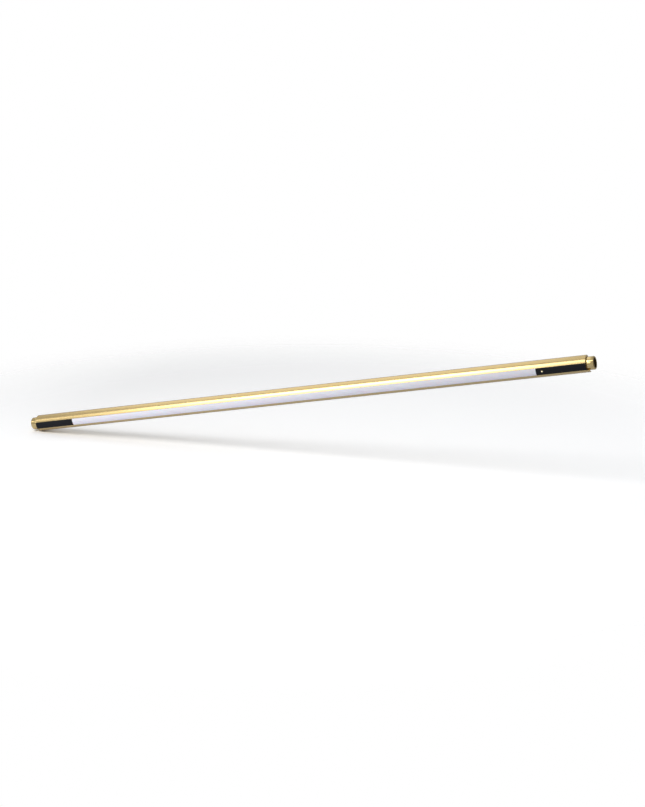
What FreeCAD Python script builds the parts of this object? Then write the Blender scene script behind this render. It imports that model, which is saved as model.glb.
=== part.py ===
import FreeCAD, Part
import math
import os

# A slim linear light bar: a slotted round tube with a lit window along its front,
# a black insert at each end of the slot, and a hollow turned spigot that swivels
# in each end. Millimetres. X runs along the tube, -Y is the front where the slot
# looks out, +Z is up. The origin is on the tube's axis at the middle of its length.

V = FreeCAD.Vector

# ---- Driving dimensions --------------------------------------------------------

# Housing tube, an extrusion
tube_length = 976.0
tube_diameter = 27.0
tube_wall = 1.8
slot_width = 11.6
tongue_reach = 4.2
tongue_angle = -49.5
tongue_half_angle = 18.5

# Fits
slot_clearance = 0.10
press_clearance = 0.05
running_clearance = 0.05
sliding_clearance = 0.10
face_clearance = 0.10

# Slot inserts and diffuser
right_insert_length = 78.8
left_insert_length = 72.5
diffuser_skin = 1.65
diffuser_leg = 1.65
insert_skin = 2.45
insert_leg = 1.25
wing_width = 1.7
wing_back_depth = 5.5
shelf_thickness = 1.1
shelf_reach = 2.4

# Spigots
spigot_diameter = 20.8
spigot_reach = 12.0
spigot_gap = 1.0
spigot_rim_bevel = 0.9
spigot_edge_bevel = 0.3
socket_diameter = 16.4
socket_depth = 9.5
socket_entry_bevel = 0.5
shank_diameter = 17.2
shank_end_depth = 11.5
shank_wall = 2.1
shank_flat_depth = 0.9

# Swivel hardware
plug_length = 7.0
thrust_washer_width = 1.2
stop_washer_thickness = 1.5
stop_washer_width = 1.45
stop_lug_gap = 0.4
stop_lug_half_angle = 6.0
stop_boss_half_angle = 8.0
stop_boss_length = 2.2
clip_thickness = 1.0
clip_width = 1.85
clip_groove_depth = 0.7
clip_opening_half_angle = 25.0
set_screw_diameter = 3.0
set_screw_recess = 0.4
set_screw_tip_gap = 0.4
set_screw_socket_width = 1.5
set_screw_socket_depth = 1.6

# Power contacts in the right end
centre_pin_diameter = 2.6
centre_pin_recess = 2.5
insulator_face_bevel = 0.4
bulkhead_depth = 15.0
bulkhead_thickness = 2.5
contact_tail = 1.5
slip_contact_diameter = 3.0
ring_contact_diameter = 1.6
ring_contact_angle = -90.0

# LED carrier, strip and chips
carrier_thickness = 2.0
carrier_edge_gap = 0.5
carrier_end_depth = 32.0
rib_thickness = 1.2
rib_reach = 2.1
strip_width = 10.0
strip_thickness = 1.0
strip_end_gap = 4.0
chip_length = 5.0
chip_width = 3.0
chip_height = 0.8
chip_pitch = 16.0

# Dimmer board behind the carrier
board_length = 70.0
board_width = 16.0
board_thickness = 1.6
board_end_gap = 6.0
standoff_height = 2.6
standoff_diameter = 4.4
board_screw_inset = 6.0
board_screw_diameter = 1.9
board_screw_head_diameter = 3.8
board_screw_head_height = 1.2
inductor_place = 24.5
inductor_diameter = 8.0
inductor_height = 3.2
capacitor_place = 35.0
capacitor_spacing = 4.5
capacitor_diameter = 3.0
capacitor_length = 9.0
chip_body_place = 50.0
chip_body_length = 6.0
chip_body_width = 5.0
chip_body_height = 1.4
terminal_length = 3.9
terminal_width = 9.0
terminal_height = 3.0

# Dimmer button in the right insert
button_inset = 9.4
button_diameter = 4.4
button_travel = 0.5
button_recess = 0.6
bezel_wall = 0.65
bezel_recess = 0.4
button_flange_width = 0.95
button_flange_thickness = 0.7
light_pipe_diameter = 2.2
light_pipe_proud = 0.15
switch_width = 6.0
switch_height = 1.6
switch_gap = 2.2
plunger_diameter = 2.0
plunger_proud = 0.6
plunger_depth = 0.6
spring_wire = 0.3
spring_turns = 4.0
switch_board_start = 3.0
switch_board_length = 32.0
switch_board_width = 12.0
switch_board_thickness = 1.2
switch_screw_near = 18.0
switch_screw_far = 30.0
boss_diameter = 3.6
pilot_floor = 1.0

# Leads
main_lead_diameter = 1.4
strip_lead_diameter = 1.0
switch_lead_diameter = 1.6
lead_end_gap = 0.2
main_lead_offset = 2.5
main_lead_height = 2.6
strip_lead_offset = 0.9
switch_lead_offset = 4.5
strip_hole_inset = 8.0
switch_hole_gap = 8.0
lead_hole_clearance = 0.8
main_lead_straight = 6.0
main_lead_run = 6.0
bend_share = 0.45

# How far a cutting shape runs past what it cuts, or a joined one into what it joins
past = 1.0

# ---- Worked-out sizes ----------------------------------------------------------

tube_radius = tube_diameter / 2
bore_radius = tube_radius - tube_wall
tube_end = tube_length / 2
slot_half = slot_width / 2
fill_half = slot_half - slot_clearance
fill_radius = tube_radius - face_clearance / 2
wing_half = fill_half + wing_width
wing_radius = bore_radius - slot_clearance
wing_back = -(tube_radius - wing_back_depth)
right_joint = tube_end - right_insert_length
left_joint = -tube_end + left_insert_length

spigot_radius = spigot_diameter / 2
socket_radius = socket_diameter / 2
shank_radius = shank_diameter / 2
shank_bore = shank_radius - shank_wall
ring_contact_radius = shank_radius - shank_wall / 2
plug_radius = bore_radius - press_clearance
plug_bore = shank_radius + running_clearance
stop_washer_radius = shank_radius + running_clearance + stop_washer_width
stop_lug_radius = bore_radius - stop_lug_gap
stop_boss_inner = stop_washer_radius + sliding_clearance
stop_washer_depth = plug_length + face_clearance
clip_depth = stop_washer_depth + stop_washer_thickness + face_clearance
clip_radius = shank_radius - clip_groove_depth + press_clearance
bulkhead_radius = bore_radius - sliding_clearance
bulkhead_back = bulkhead_depth + bulkhead_thickness
bore_clear_depth = bulkhead_back + 2 * face_clearance
contact_tip = shank_end_depth + face_clearance
contact_end = bulkhead_back + contact_tail

carrier_back = carrier_thickness
carrier_half = math.sqrt(bore_radius ** 2 - carrier_back ** 2) - carrier_edge_gap
carrier_end = tube_end - carrier_end_depth
strip_front = -strip_thickness
strip_right = right_joint - strip_end_gap
strip_left = left_joint + strip_end_gap
board_front = carrier_back + standoff_height
board_back = board_front + board_thickness
board_right = right_joint - board_end_gap
board_left = board_right - board_length

button_x = right_joint + button_inset
button_radius = button_diameter / 2
bezel_bore = button_radius + sliding_clearance
bezel_radius = bezel_bore + bezel_wall
skin_back = -(tube_radius - insert_skin)
flange_front = skin_back + face_clearance
flange_back = flange_front + button_flange_thickness
flange_radius = button_radius + button_flange_width
switch_front = flange_back + switch_gap
switch_back = switch_front + switch_height
switch_board_back = switch_back + switch_board_thickness
plunger_top = switch_front - plunger_proud
pipe_radius = light_pipe_diameter / 2
main_lead_y = board_back + main_lead_height / 2


# ---- Shapes used by several parts ----------------------------------------------

def polar(x, radius, degrees):
    """A point round the tube: 0 degrees is the front, 90 degrees the top."""
    turn = math.radians(degrees)
    return V(x, -radius * math.cos(turn), radius * math.sin(turn))


def rod(x0, x1, radius, y=0.0, z=0.0):
    """A round bar along X."""
    return Part.makeCylinder(radius, x1 - x0, V(x0, y, z), V(1, 0, 0))


def post(x, z, y0, y1, radius):
    """A round post along Y."""
    return Part.makeCylinder(radius, y1 - y0, V(x, y0, z), V(0, 1, 0))


def block(x0, x1, y0, y1, z0, z1):
    return Part.makeBox(x1 - x0, y1 - y0, z1 - z0, V(x0, y0, z0))


def ring(x0, x1, inner, outer):
    return rod(x0, x1, outer).cut(rod(x0 - past, x1 + past, inner))


def ring_sector(x0, x1, inner, outer, centre, half):
    """A length of ring between two angles."""
    low = centre - half
    high = centre + half
    outer_arc = Part.Arc(polar(x0, outer, low), polar(x0, outer, centre), polar(x0, outer, high))
    inner_arc = Part.Arc(polar(x0, inner, high), polar(x0, inner, centre), polar(x0, inner, low))
    sides = [
        Part.LineSegment(polar(x0, outer, high), polar(x0, inner, high)),
        Part.LineSegment(polar(x0, inner, low), polar(x0, outer, low)),
    ]
    edges = [outer_arc.toShape(), sides[0].toShape(), inner_arc.toShape(), sides[1].toShape()]
    face = Part.Face(Part.Wire(edges))
    return face.extrude(V(x1 - x0, 0, 0))


def turned(profile):
    """A lathe-turned piece about X, from (x, radius) points in order."""
    points = [V(x, 0, radius) for x, radius in profile]
    face = Part.Face(Part.makePolygon(points + [points[0]]))
    return face.revolve(V(0, 0, 0), V(1, 0, 0), 360)


def mirrored(shape):
    """The same piece at the left end."""
    return shape.mirror(V(0, 0, 0), V(1, 0, 0))


def lead(points, diameter, longest_reach):
    """A round wire through the points, its corners rounded by tangent arcs.

    An arc starts no further from its corner than longest_reach.
    """
    edges = []
    start = points[0]
    for before, corner, after in zip(points, points[1:], points[2:]):
        back = before - corner
        ahead = after - corner
        reach = min(bend_share * min(back.Length, ahead.Length), longest_reach)
        back.normalize()
        ahead.normalize()
        half_turn = (math.pi - back.getAngle(ahead)) / 2
        bend = reach / math.tan(half_turn)
        enter = corner + back * reach
        leave = corner + ahead * reach
        middle = back + ahead
        middle.normalize()
        crown = corner + middle * (bend / math.cos(half_turn) - bend)
        edges.append(Part.LineSegment(start, enter).toShape())
        edges.append(Part.Arc(enter, crown, leave).toShape())
        start = leave
    edges.append(Part.LineSegment(start, points[-1]).toShape())
    path = Part.Wire(edges)
    first = points[1] - points[0]
    section = Part.Wire(Part.makeCircle(diameter / 2, points[0], first))
    return path.makePipeShell([section], True, True)


# ---- Housing -------------------------------------------------------------------

def housing_tube():
    rib_end = tube_end - bore_clear_depth
    body = ring(-tube_end, tube_end, bore_radius, tube_radius)
    bar = rod(-rib_end, rib_end, bore_radius + tube_wall / 2)
    rib_inner = carrier_half - rib_reach
    front_face = -sliding_clearance
    back_face = carrier_back + sliding_clearance
    shelf_front = wing_back + sliding_clearance
    shelf_inner = wing_half - shelf_reach + sliding_clearance
    shelves = [
        (front_face - rib_thickness, front_face, rib_inner),
        (back_face, back_face + rib_thickness, rib_inner),
        (shelf_front, shelf_front + shelf_thickness, shelf_inner),
    ]
    for y0, y1, inner in shelves:
        for z0, z1 in ((inner, tube_radius), (-tube_radius, -inner)):
            body = body.fuse(block(-rib_end, rib_end, y0, y1, z0, z1).common(bar))
    body = body.cut(block(-tube_end - past, tube_end + past, -tube_radius - past, wing_back,
                          -slot_half, slot_half))
    for screw_x in set_screw_places():
        hole = set_screw_diameter / 2 + sliding_clearance
        body = body.cut(post(screw_x, 0, bore_radius - past, tube_radius + past, hole))
    tongue = ring_sector(tube_end - past, tube_end + tongue_reach, bore_radius, tube_radius,
                         tongue_angle, tongue_half_angle)
    return body.fuse(tongue).removeSplitter()


def slot_filler(x0, x1, skin, leg, inner_x0, inner_x1):
    """The section that fills the slot, with two wings behind the tube's wall."""
    face = rod(x0, x1, fill_radius).common(
        block(x0, x1, -tube_radius, wing_back, -fill_half, fill_half))
    wings = rod(inner_x0, inner_x1, wing_radius).common(
        block(inner_x0, inner_x1, -tube_radius, wing_back, -wing_half, wing_half))
    body = face.fuse(wings)
    channel_half = fill_half - leg
    channel_front = -(tube_radius - skin)
    channel = block(x0 - past, x1 + past, channel_front, wing_back + past, -channel_half, channel_half)
    body = body.cut(channel)
    for end0, end1 in ((x0 - past, inner_x0), (inner_x1, x1 + past)):
        body = body.cut(rod(end0, end1, bore_radius + sliding_clearance))
    return body.removeSplitter()


def diffuser():
    x0 = left_joint + face_clearance
    x1 = right_joint - face_clearance
    return slot_filler(x0, x1, diffuser_skin, diffuser_leg, x0, x1)


def left_insert():
    inner = -tube_end + bore_clear_depth
    return slot_filler(-tube_end, left_joint, insert_skin, insert_leg, inner, left_joint)


def right_insert():
    inner = tube_end - bore_clear_depth
    body = slot_filler(right_joint, tube_end, insert_skin, insert_leg, right_joint, inner)
    for x in switch_screw_places():
        boss = post(x, 0, skin_back - insert_skin / 2, switch_back, boss_diameter / 2)
        body = body.fuse(boss)
        pilot = board_screw_diameter / 2 + press_clearance
        body = body.cut(post(x, 0, skin_back + pilot_floor, switch_back + past, pilot))
    opening = bezel_radius + press_clearance
    body = body.cut(post(button_x, 0, -tube_radius - past, skin_back + past, opening))
    return body.removeSplitter()


# ---- Swivel ends, drawn at the right end ---------------------------------------

def end_plug():
    inner_face = tube_end - plug_length
    body = ring(inner_face, tube_end, plug_bore, plug_radius)
    boss = ring_sector(inner_face - stop_boss_length, inner_face + past, stop_boss_inner,
                       plug_radius, 90, stop_boss_half_angle)
    tapped = post(tube_end - plug_length / 2, 0, 0, tube_radius, set_screw_diameter / 2)
    return body.fuse(boss).cut(tapped).removeSplitter()


def spigot():
    mouth = tube_end + spigot_reach
    shoulder = tube_end + spigot_gap
    floor = mouth - socket_depth
    shank_end = tube_end - shank_end_depth
    groove = tube_end - clip_depth + press_clearance
    groove_radius = shank_radius - clip_groove_depth
    groove_end = groove - clip_thickness - 2 * press_clearance
    body = turned([
        (shank_end, shank_bore),
        (shank_end, shank_radius),
        (groove_end, shank_radius),
        (groove_end, groove_radius),
        (groove, groove_radius),
        (groove, shank_radius),
        (shoulder, shank_radius),
        (shoulder, spigot_radius - spigot_edge_bevel),
        (shoulder + spigot_edge_bevel, spigot_radius),
        (mouth - spigot_rim_bevel, spigot_radius),
        (mouth, spigot_radius - spigot_rim_bevel),
        (mouth, socket_radius + socket_entry_bevel),
        (mouth - socket_entry_bevel, socket_radius),
        (floor, socket_radius),
        (floor, shank_bore),
    ])
    flat = shank_radius - shank_flat_depth
    flat_start = tube_end - plug_length
    return body.cut(block(shank_end - past, flat_start, -tube_radius, -flat, -tube_radius, tube_radius))


def thrust_washer():
    x0 = tube_end + face_clearance
    inner = shank_radius + sliding_clearance
    return ring(x0, tube_end + spigot_gap, inner, inner + thrust_washer_width)


def stop_washer():
    x1 = tube_end - stop_washer_depth
    x0 = x1 - stop_washer_thickness
    lug = ring_sector(x0, x1, stop_washer_radius - stop_washer_width / 2, stop_lug_radius,
                      -90, stop_lug_half_angle)
    body = rod(x0, x1, stop_washer_radius).fuse(lug)
    flat = shank_radius - shank_flat_depth + running_clearance
    bore = rod(x0 - past, x1 + past, shank_radius + running_clearance)
    bore = bore.cut(block(x0 - 2 * past, x1 + 2 * past, -tube_radius, -flat, -tube_radius, tube_radius))
    return body.cut(bore).removeSplitter()


def retaining_clip():
    x1 = tube_end - clip_depth
    x0 = x1 - clip_thickness
    opening = ring_sector(x0 - past, x1 + past, clip_radius - past, clip_radius + clip_width + past,
                          180, clip_opening_half_angle)
    return ring(x0, x1, clip_radius, clip_radius + clip_width).cut(opening)


def set_screw_places():
    right = tube_end - plug_length / 2
    return (-right, right)


def plug_set_screws():
    screws = []
    for x in set_screw_places():
        inner = shank_radius + set_screw_tip_gap
        outer = tube_radius - set_screw_recess
        body = post(x, 0, inner, outer, set_screw_diameter / 2 - press_clearance)
        floor = outer - set_screw_socket_depth
        corner = set_screw_socket_width / math.sqrt(3)
        turns = [math.radians(60 * i) for i in range(7)]
        outline = [V(x + corner * math.cos(turn), floor, corner * math.sin(turn)) for turn in turns]
        hexagon = Part.Face(Part.makePolygon(outline)).extrude(V(0, set_screw_socket_depth + past, 0))
        screws.append(body.cut(hexagon))
    return Part.makeCompound(screws)


# ---- Power contacts at the right end -------------------------------------------

def contact_insulator():
    floor = tube_end + spigot_reach - socket_depth
    radius = shank_bore - press_clearance
    back = tube_end - shank_end_depth + face_clearance
    bore = centre_pin_diameter / 2 + press_clearance
    return turned([
        (back, bore),
        (back, radius),
        (floor - insulator_face_bevel, radius),
        (floor, radius - insulator_face_bevel),
        (floor, bore),
    ])


def centre_contact_pin():
    radius = centre_pin_diameter / 2
    tip = tube_end + spigot_reach - centre_pin_recess
    return turned([
        (tube_end - shank_end_depth, 0),
        (tube_end - shank_end_depth, radius),
        (tip - radius / 2, radius),
        (tip, radius / 2),
        (tip, 0),
    ])


def left_socket_blank():
    floor = tube_end + spigot_reach - socket_depth
    radius = shank_bore - press_clearance
    return turned([
        (tube_end, 0),
        (tube_end, radius),
        (floor - insulator_face_bevel, radius),
        (floor, radius - insulator_face_bevel),
        (floor, 0),
    ])


def contact_bulkhead():
    body = rod(tube_end - bulkhead_back, tube_end - bulkhead_depth, bulkhead_radius)
    body = body.cut(slip_contact_shape(press_clearance))
    return body.cut(ring_contact_shape(press_clearance))


def slip_contact_shape(grow=0.0):
    return rod(tube_end - contact_end - grow, tube_end - contact_tip + grow,
               slip_contact_diameter / 2 + grow)


def ring_contact_shape(grow=0.0):
    centre = polar(0, ring_contact_radius, ring_contact_angle)
    return rod(tube_end - contact_end - grow, tube_end - contact_tip + grow,
               ring_contact_diameter / 2 + grow, centre.y, centre.z)


# ---- LED carrier and strip -----------------------------------------------------

def standoff_places():
    return (board_left + board_screw_inset, board_right - board_screw_inset)


def strip_hole_x():
    return strip_right + strip_hole_inset


def switch_hole_x():
    return right_joint + switch_board_start + switch_board_length + switch_hole_gap


def led_carrier():
    body = block(-carrier_end, carrier_end, 0, carrier_back, -carrier_half, carrier_half)
    screw_hole = board_screw_diameter / 2 + press_clearance
    for x in standoff_places():
        body = body.cut(post(x, 0, -past, carrier_back + past, screw_hole))
    strip_hole = strip_lead_offset + strip_lead_diameter / 2 + lead_hole_clearance
    body = body.cut(post(strip_hole_x(), 0, -past, carrier_back + past, strip_hole))
    switch_hole = switch_lead_diameter / 2 + lead_hole_clearance
    body = body.cut(post(switch_hole_x(), switch_lead_offset, -past, carrier_back + past, switch_hole))
    return body


def led_strip_board():
    return block(strip_left, strip_right, strip_front, 0, -strip_width / 2, strip_width / 2)


def led_chips():
    usable = strip_right - strip_left - chip_length
    count = int(usable / chip_pitch)
    first = (strip_left + strip_right) / 2 - (count - 1) * chip_pitch / 2
    chips = []
    for i in range(count):
        x = first + i * chip_pitch
        chips.append(block(x - chip_length / 2, x + chip_length / 2, strip_front - chip_height,
                           strip_front, -chip_width / 2, chip_width / 2))
    return Part.makeCompound(chips)


# ---- Dimmer board --------------------------------------------------------------

def dimmer_board():
    body = block(board_left, board_right, board_front, board_back, -board_width / 2, board_width / 2)
    screw_hole = board_screw_diameter / 2 + press_clearance
    for x in standoff_places():
        body = body.cut(post(x, 0, board_front - past, board_back + past, screw_hole))
    return body


def board_standoffs():
    bore = board_screw_diameter / 2 + press_clearance
    rings = []
    for x in standoff_places():
        sleeve = post(x, 0, carrier_back, board_front, standoff_diameter / 2)
        rings.append(sleeve.cut(post(x, 0, carrier_back - past, board_front + past, bore)))
    return Part.makeCompound(rings)


def pan_screw(x, tip, seat):
    """A small pan-head screw along Y, its head behind the seat."""
    shank = post(x, 0, tip, seat, board_screw_diameter / 2)
    head = post(x, 0, seat, seat + board_screw_head_height, board_screw_head_diameter / 2)
    slot = block(x - board_screw_head_diameter, x + board_screw_head_diameter,
                 seat + board_screw_head_height / 2, seat + board_screw_head_height,
                 -board_screw_head_height / 4, board_screw_head_height / 4)
    return shank.fuse(head).cut(slot)


def board_screws():
    return Part.makeCompound([pan_screw(x, 0, board_back) for x in standoff_places()])


def power_inductor():
    x = board_left + inductor_place
    top = board_back + inductor_height
    groove = inductor_height / 4
    radius = inductor_diameter / 2
    body = post(x, 0, board_back, top, radius)
    waist = post(x, 0, board_back + groove, top - groove, radius + past)
    core = post(x, 0, board_back + groove, top - groove, radius - groove)
    return body.cut(waist.cut(core))


def filter_capacitors():
    x = board_left + capacitor_place
    radius = capacitor_diameter / 2
    cans = [rod(x, x + capacitor_length, radius, board_back + radius, z)
            for z in (-capacitor_spacing / 2, capacitor_spacing / 2)]
    return Part.makeCompound(cans)


def dimmer_chip():
    x = board_left + chip_body_place
    return block(x, x + chip_body_length, board_back, board_back + chip_body_height,
                 -chip_body_width / 2, chip_body_width / 2)


def lead_terminal():
    return block(board_right - terminal_length, board_right, board_back, board_back + terminal_height,
                 -terminal_width / 2, terminal_width / 2)


# ---- Button and switch ---------------------------------------------------------

def switch_screw_places():
    return (right_joint + switch_screw_near, right_joint + switch_screw_far)


def button_bezel():
    front = -tube_radius + bezel_recess
    body = post(button_x, 0, front, skin_back, bezel_radius)
    return body.cut(post(button_x, 0, front - past, skin_back + past, bezel_bore))


def button_cap():
    front = -tube_radius + button_recess
    body = post(button_x, 0, front, flange_front, button_radius)
    body = body.fuse(post(button_x, 0, flange_front, flange_back, flange_radius))
    bore = pipe_radius + press_clearance
    return body.cut(post(button_x, 0, front - past, flange_back + past, bore)).removeSplitter()


def pilot_light_pipe():
    front = -tube_radius + button_recess - light_pipe_proud
    return post(button_x, 0, front, plunger_top, pipe_radius)


def switch_plunger():
    return post(button_x, 0, plunger_top, switch_front + plunger_depth, plunger_diameter / 2)


def tact_switch():
    half = switch_width / 2
    body = block(button_x - half, button_x + half, switch_front, switch_back, -half, half)
    well = plunger_diameter / 2 + sliding_clearance
    floor = switch_front + plunger_depth + button_travel + face_clearance
    return body.cut(post(button_x, 0, switch_front - past, floor, well))


def button_spring():
    """A coil between the button's flange and the switch."""
    height = switch_front - flange_back - spring_wire - 2 * press_clearance
    radius = flange_radius - spring_wire
    helix = Part.makeHelix(height / spring_turns, height, radius)
    section = Part.Wire(Part.makeCircle(spring_wire / 2, V(radius, 0, 0), V(0, 1, 0)))
    coil = Part.Wire(helix.Edges).makePipeShell([section], True, True)
    coil.rotate(V(0, 0, 0), V(1, 0, 0), -90)
    coil.translate(V(button_x, flange_back + spring_wire / 2 + press_clearance, 0))
    return coil


def switch_board():
    x0 = right_joint + switch_board_start
    half = switch_board_width / 2
    body = block(x0, x0 + switch_board_length, switch_back, switch_board_back, -half, half)
    for x in switch_screw_places():
        body = body.cut(post(x, 0, switch_back - past, switch_board_back + past,
                             board_screw_diameter / 2 + sliding_clearance))
    return body


def switch_board_screws():
    tip = skin_back + pilot_floor + face_clearance
    return Part.makeCompound([pan_screw(x, tip, switch_board_back) for x in switch_screw_places()])


# ---- Leads ---------------------------------------------------------------------

def main_lead(start_y, start_z, end_z):
    start_x = tube_end - contact_end - lead_end_gap
    turn_x = start_x - main_lead_straight
    low_x = turn_x - main_lead_run
    end_x = board_right + lead_end_gap
    return lead([V(start_x, start_y, start_z), V(turn_x, start_y, start_z),
                 V(low_x, main_lead_y, end_z), V(end_x, main_lead_y, end_z)],
                main_lead_diameter, main_lead_run)


def positive_lead():
    return main_lead(0, 0, main_lead_offset)


def negative_lead():
    start = polar(0, ring_contact_radius, ring_contact_angle)
    return main_lead(start.y, start.z, -main_lead_offset)


def strip_lead(z):
    middle_board = (board_front + board_back) / 2
    middle_strip = strip_front / 2
    return lead([V(board_right + lead_end_gap, middle_board, z), V(strip_hole_x(), middle_board, z),
                 V(strip_hole_x(), middle_strip - strip_thickness, z),
                 V(strip_right + lead_end_gap, middle_strip, z)],
                strip_lead_diameter, middle_board - carrier_back)


def switch_lead():
    start_y = (switch_back + switch_board_back) / 2
    end_y = (board_front + board_back) / 2
    start_x = switch_hole_x() - switch_hole_gap + lead_end_gap
    z = switch_lead_offset
    return lead([V(start_x, start_y, z), V(switch_hole_x(), start_y, z), V(switch_hole_x(), end_y, z),
                 V(board_right + lead_end_gap, end_y, z)],
                switch_lead_diameter, end_y - carrier_back)


# ---- Write every part ----------------------------------------------------------

parts = {
    "housing_tube": housing_tube(),
    "diffuser": diffuser(),
    "right_insert": right_insert(),
    "left_insert": left_insert(),
    "led_carrier": led_carrier(),
    "led_strip_board": led_strip_board(),
    "led_chips": led_chips(),
    "dimmer_board": dimmer_board(),
    "board_standoffs": board_standoffs(),
    "board_screws": board_screws(),
    "power_inductor": power_inductor(),
    "filter_capacitors": filter_capacitors(),
    "dimmer_chip": dimmer_chip(),
    "lead_terminal": lead_terminal(),
    "button_bezel": button_bezel(),
    "button_cap": button_cap(),
    "pilot_light_pipe": pilot_light_pipe(),
    "button_spring": button_spring(),
    "switch_plunger": switch_plunger(),
    "tact_switch": tact_switch(),
    "switch_board": switch_board(),
    "switch_board_screws": switch_board_screws(),
    "plug_set_screws": plug_set_screws(),
    "contact_insulator": contact_insulator(),
    "centre_contact_pin": centre_contact_pin(),
    "contact_bulkhead": contact_bulkhead(),
    "slip_contact": slip_contact_shape(),
    "ring_contact": ring_contact_shape(),
    "left_socket_blank": mirrored(left_socket_blank()),
    "positive_lead": positive_lead(),
    "negative_lead": negative_lead(),
    "strip_positive_lead": strip_lead(strip_lead_offset),
    "strip_negative_lead": strip_lead(-strip_lead_offset),
    "switch_lead": switch_lead(),
}
for name, make in (("end_plug", end_plug), ("spigot", spigot), ("thrust_washer", thrust_washer),
                   ("stop_washer", stop_washer), ("retaining_clip", retaining_clip)):
    parts["right_" + name] = make()
    parts["left_" + name] = mirrored(make())

os.makedirs("parts", exist_ok=True)
for name, shape in parts.items():
    shape.exportStep("parts/" + name + ".step")
    print(name, "solids", len(shape.Solids), "volume", round(shape.Volume, 2), shape.isValid())
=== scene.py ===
import math

import bmesh
import bpy
from mathutils import Matrix, Vector


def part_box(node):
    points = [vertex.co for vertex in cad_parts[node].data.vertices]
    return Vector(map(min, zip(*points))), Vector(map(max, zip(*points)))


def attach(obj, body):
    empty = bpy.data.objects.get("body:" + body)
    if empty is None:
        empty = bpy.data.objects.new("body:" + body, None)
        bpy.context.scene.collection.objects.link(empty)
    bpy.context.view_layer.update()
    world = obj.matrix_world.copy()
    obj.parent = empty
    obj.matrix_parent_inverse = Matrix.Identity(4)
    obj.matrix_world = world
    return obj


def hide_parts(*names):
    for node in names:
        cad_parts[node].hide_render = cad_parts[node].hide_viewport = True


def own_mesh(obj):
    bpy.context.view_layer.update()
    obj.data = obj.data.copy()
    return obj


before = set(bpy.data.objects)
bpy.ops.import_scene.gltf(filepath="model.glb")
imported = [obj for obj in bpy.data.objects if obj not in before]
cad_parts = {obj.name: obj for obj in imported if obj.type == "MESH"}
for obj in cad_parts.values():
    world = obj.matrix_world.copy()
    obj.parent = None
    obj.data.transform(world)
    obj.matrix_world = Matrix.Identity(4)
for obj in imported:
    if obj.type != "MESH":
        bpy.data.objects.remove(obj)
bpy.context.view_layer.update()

# ---- Camera --------------------------------------------------------------------
# A long lens to the right of the bar and a little above its front, rolled so that
# the bar climbs gently to the right across the picture.

def new_object(name, data):
    """An object that shows the data, linked into the scene."""
    shown = bpy.data.objects.new(name, data)
    bpy.context.scene.collection.objects.link(shown)
    return shown


camera_azimuth = math.radians(24.80)
camera_elevation = math.radians(20.00)
camera_roll = math.radians(15.02)
camera_distance = 2.925
camera_lens_mm = 80.3
aim_right = 0.0435
aim_up = -0.0136

looking = Vector((
    -math.sin(camera_azimuth) * math.cos(camera_elevation),
    math.cos(camera_azimuth) * math.cos(camera_elevation),
    -math.sin(camera_elevation),
))
level_right = Vector((math.cos(camera_azimuth), math.sin(camera_azimuth), 0))
level_up = level_right.cross(looking)
picture_right = level_right * math.cos(camera_roll) - level_up * math.sin(camera_roll)
picture_up = level_right * math.sin(camera_roll) + level_up * math.cos(camera_roll)
camera_place = picture_right * aim_right + picture_up * aim_up - looking * camera_distance

camera_turn = Matrix((picture_right, picture_up, -looking)).transposed().to_4x4()
camera = new_object("camera", bpy.data.cameras.new("camera"))
camera.data.lens = camera_lens_mm
camera.data.sensor_width = 36.0
camera.data.sensor_fit = "AUTO"
camera.data.clip_end = 50.0
camera.matrix_world = Matrix.Translation(camera_place) @ camera_turn
bpy.context.scene.camera = camera


# ---- Floor ---------------------------------------------------------------------
# A pale matt table under the left end. The bar leans up from it, so the floor
# falls away to the right. Its far edge melts into the white room, and it isn't
# there when looked at from below.

def place(tree, kind, inputs=None, **settings):
    """Adds a node, then sets or links each of its inputs. A node stands for its first output."""
    node = tree.nodes.new(kind)
    for setting, value in settings.items():
        setattr(node, setting, value)
    for socket_name, value in (inputs or {}).items():
        socket = node.inputs[socket_name]
        if isinstance(value, bpy.types.Node):
            value = value.outputs[0]
        if isinstance(value, bpy.types.NodeSocket):
            tree.links.new(value, socket)
        else:
            socket.default_value = value
    return node


def reckoned(tree, operation, *values):
    """Adds a sum of two or three values, and gives its result."""
    return place(tree, "ShaderNodeMath", dict(enumerate(values)), operation=operation).outputs[0]


floor_fall = math.radians(14.8)
floor_radius = 0.95
floor_fade_start = 0.55
# Painted light: to the camera the floor's colour rises above white towards the right, cancelling the lamps'
# falloff so that it shows as even white. Other rays see a darker bluish copy: painted shade in what the bar
# reflects and picks up from below.
floor_painted_light_left = (1.13, 1.13, 1.13, 1)
floor_painted_light_right = (1.78, 1.78, 1.78, 1)
floor_painted_shade_for_bounce = (0.68, 0.70, 0.80, 1)
tube_reach = 0.488
tube_thickness = 0.027

floor_up = picture_up * math.cos(floor_fall) - looking * math.sin(floor_fall)
lean = floor_up.x
floor_drop = tube_reach * lean + tube_thickness / 2 * math.sqrt(1 - lean * lean) + 0.0005
floor_side = picture_right
floor_depth = floor_up.cross(floor_side)
floor_turn = Matrix((floor_side, floor_depth, floor_up)).transposed().to_4x4()

floor_mesh = bmesh.new()
bmesh.ops.create_circle(floor_mesh, cap_ends=True, segments=96, radius=floor_radius)
floor_mesh.transform(Matrix.Translation(floor_up * -floor_drop) @ floor_turn)
floor_data = bpy.data.meshes.new("floor")
floor_mesh.to_mesh(floor_data)
floor_mesh.free()
floor = new_object("floor", floor_data)

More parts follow.
